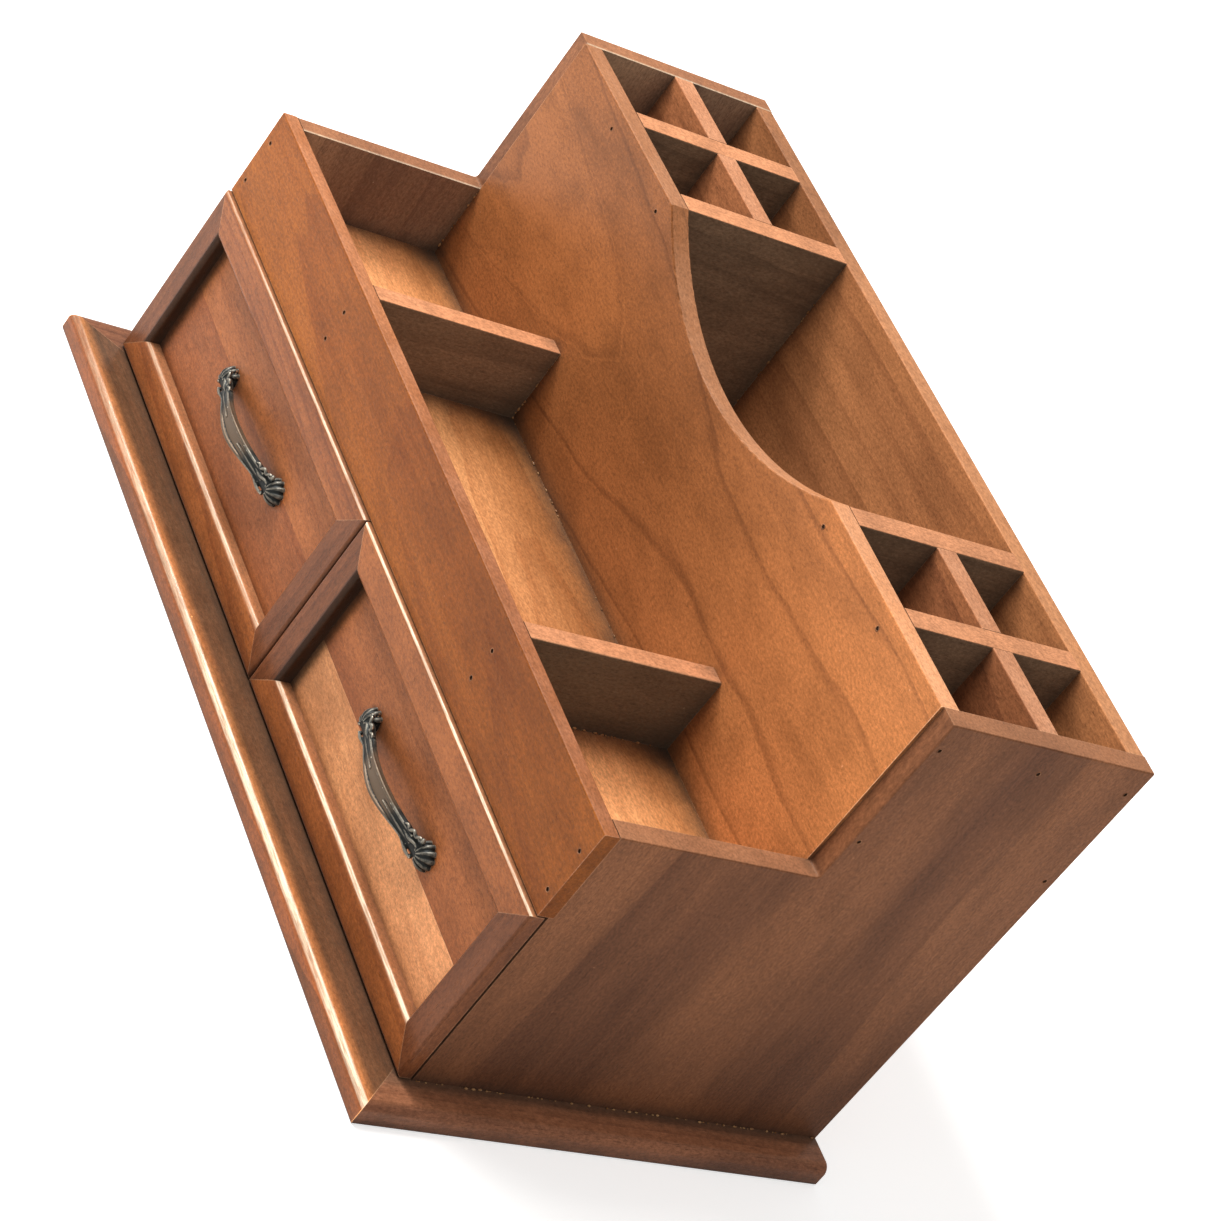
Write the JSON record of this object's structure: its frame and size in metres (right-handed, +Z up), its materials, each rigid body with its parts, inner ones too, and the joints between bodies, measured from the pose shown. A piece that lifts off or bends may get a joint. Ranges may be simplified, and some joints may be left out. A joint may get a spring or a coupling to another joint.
{
  "type": "desk organizer",
  "caption": "Wooden desk organizer: an open divided tray in front of a tall box with pen cells and a scooped front, over side-by-side drawers with arched metal pulls, on a rounded plinth.",
  "frame": {"origin": "on the desk under the middle of the plinth's footprint", "axes": "+Z up, -Y towards the drawer fronts and the user, +X to the user's right"},
  "size_m": [0.431, 0.2246, 0.2245],
  "materials": {
    "plinth_wood": "stained and varnished, rounded and worn at the edge",
    "plinth_board_wood": "bare, underneath",
    "side_wood": "stained and varnished, upright grain",
    "panel_wood": "stained and varnished, figured",
    "fascia_wood": "stained and varnished",
    "back_wood": "stained and varnished",
    "tray_floor_wood": "stained and varnished",
    "divider_wood": "stained and varnished",
    "rail_wood": "stained and varnished",
    "stile_wood": "stained and varnished",
    "front_wood": "stained and varnished",
    "light_front_wood": "stained and varnished, a lighter board",
    "drawer_box_wood": "bare, sanded",
    "drawer_bottom_board": "thin plywood, bare",
    "pull_metal": "antiqued, dark in the hollows and bright on the relief",
    "brad_steel": "dull",
    "screw_steel": "plated"
  },
  "bodies": {
    "carcass": {"back_panel": "back_wood", "base_board": "plinth_board_wood", "base_front_strip": "plinth_wood", "base_left_strip": "plinth_wood", "base_right_strip": "plinth_wood", "drawer_partition": "drawer_box_wood", "fascia_board": "fascia_wood", "fascia_brads": "brad_steel", "left_compartment_wall": "divider_wood", "left_deep_strip": "divider_wood", "left_side_brads": "brad_steel", "left_side_panel": "side_wood", "left_tray_divider": "divider_wood", "left_wide_strip": "divider_wood", "right_compartment_wall": "divider_wood", "right_deep_strip": "divider_wood", "right_side_brads": "brad_steel", "right_side_panel": "side_wood", "right_tray_divider": "divider_wood", "right_wide_strip": "divider_wood", "scooped_panel": "panel_wood", "scooped_panel_brads": "brad_steel", "tray_floor": "tray_floor_wood"},
    "left_drawer": {"left_drawer_bottom": "drawer_bottom_board", "left_drawer_bottom_rail": "rail_wood", "left_drawer_box_back": "drawer_box_wood", "left_drawer_box_left": "drawer_box_wood", "left_drawer_box_right": "drawer_box_wood", "left_drawer_front_board": "front_wood", "left_drawer_left_stile": "stile_wood", "left_drawer_pull": "pull_metal", "left_drawer_pull_screws": "screw_steel", "left_drawer_right_stile": "stile_wood", "left_drawer_top_rail": "rail_wood"},
    "right_drawer": {"right_drawer_bottom": "drawer_bottom_board", "right_drawer_bottom_rail": "rail_wood", "right_drawer_box_back": "drawer_box_wood", "right_drawer_box_left": "drawer_box_wood", "right_drawer_box_right": "drawer_box_wood", "right_drawer_left_stile": "stile_wood", "right_drawer_lower_front_strip": "light_front_wood", "right_drawer_pull": "pull_metal", "right_drawer_pull_screws": "screw_steel", "right_drawer_right_stile": "stile_wood", "right_drawer_top_rail": "rail_wood", "right_drawer_upper_front_strip": "front_wood"}
  },
  "joints": [
    {"name": "left_drawer_slide", "type": "slide", "parent": "carcass", "child": "left_drawer", "axis": [0, -1, 0], "range_m": [-0.0008, 0.15]},
    {"name": "right_drawer_slide", "type": "slide", "parent": "carcass", "child": "right_drawer", "axis": [0, -1, 0], "range_m": [-0.0008, 0.15]}
  ]
}
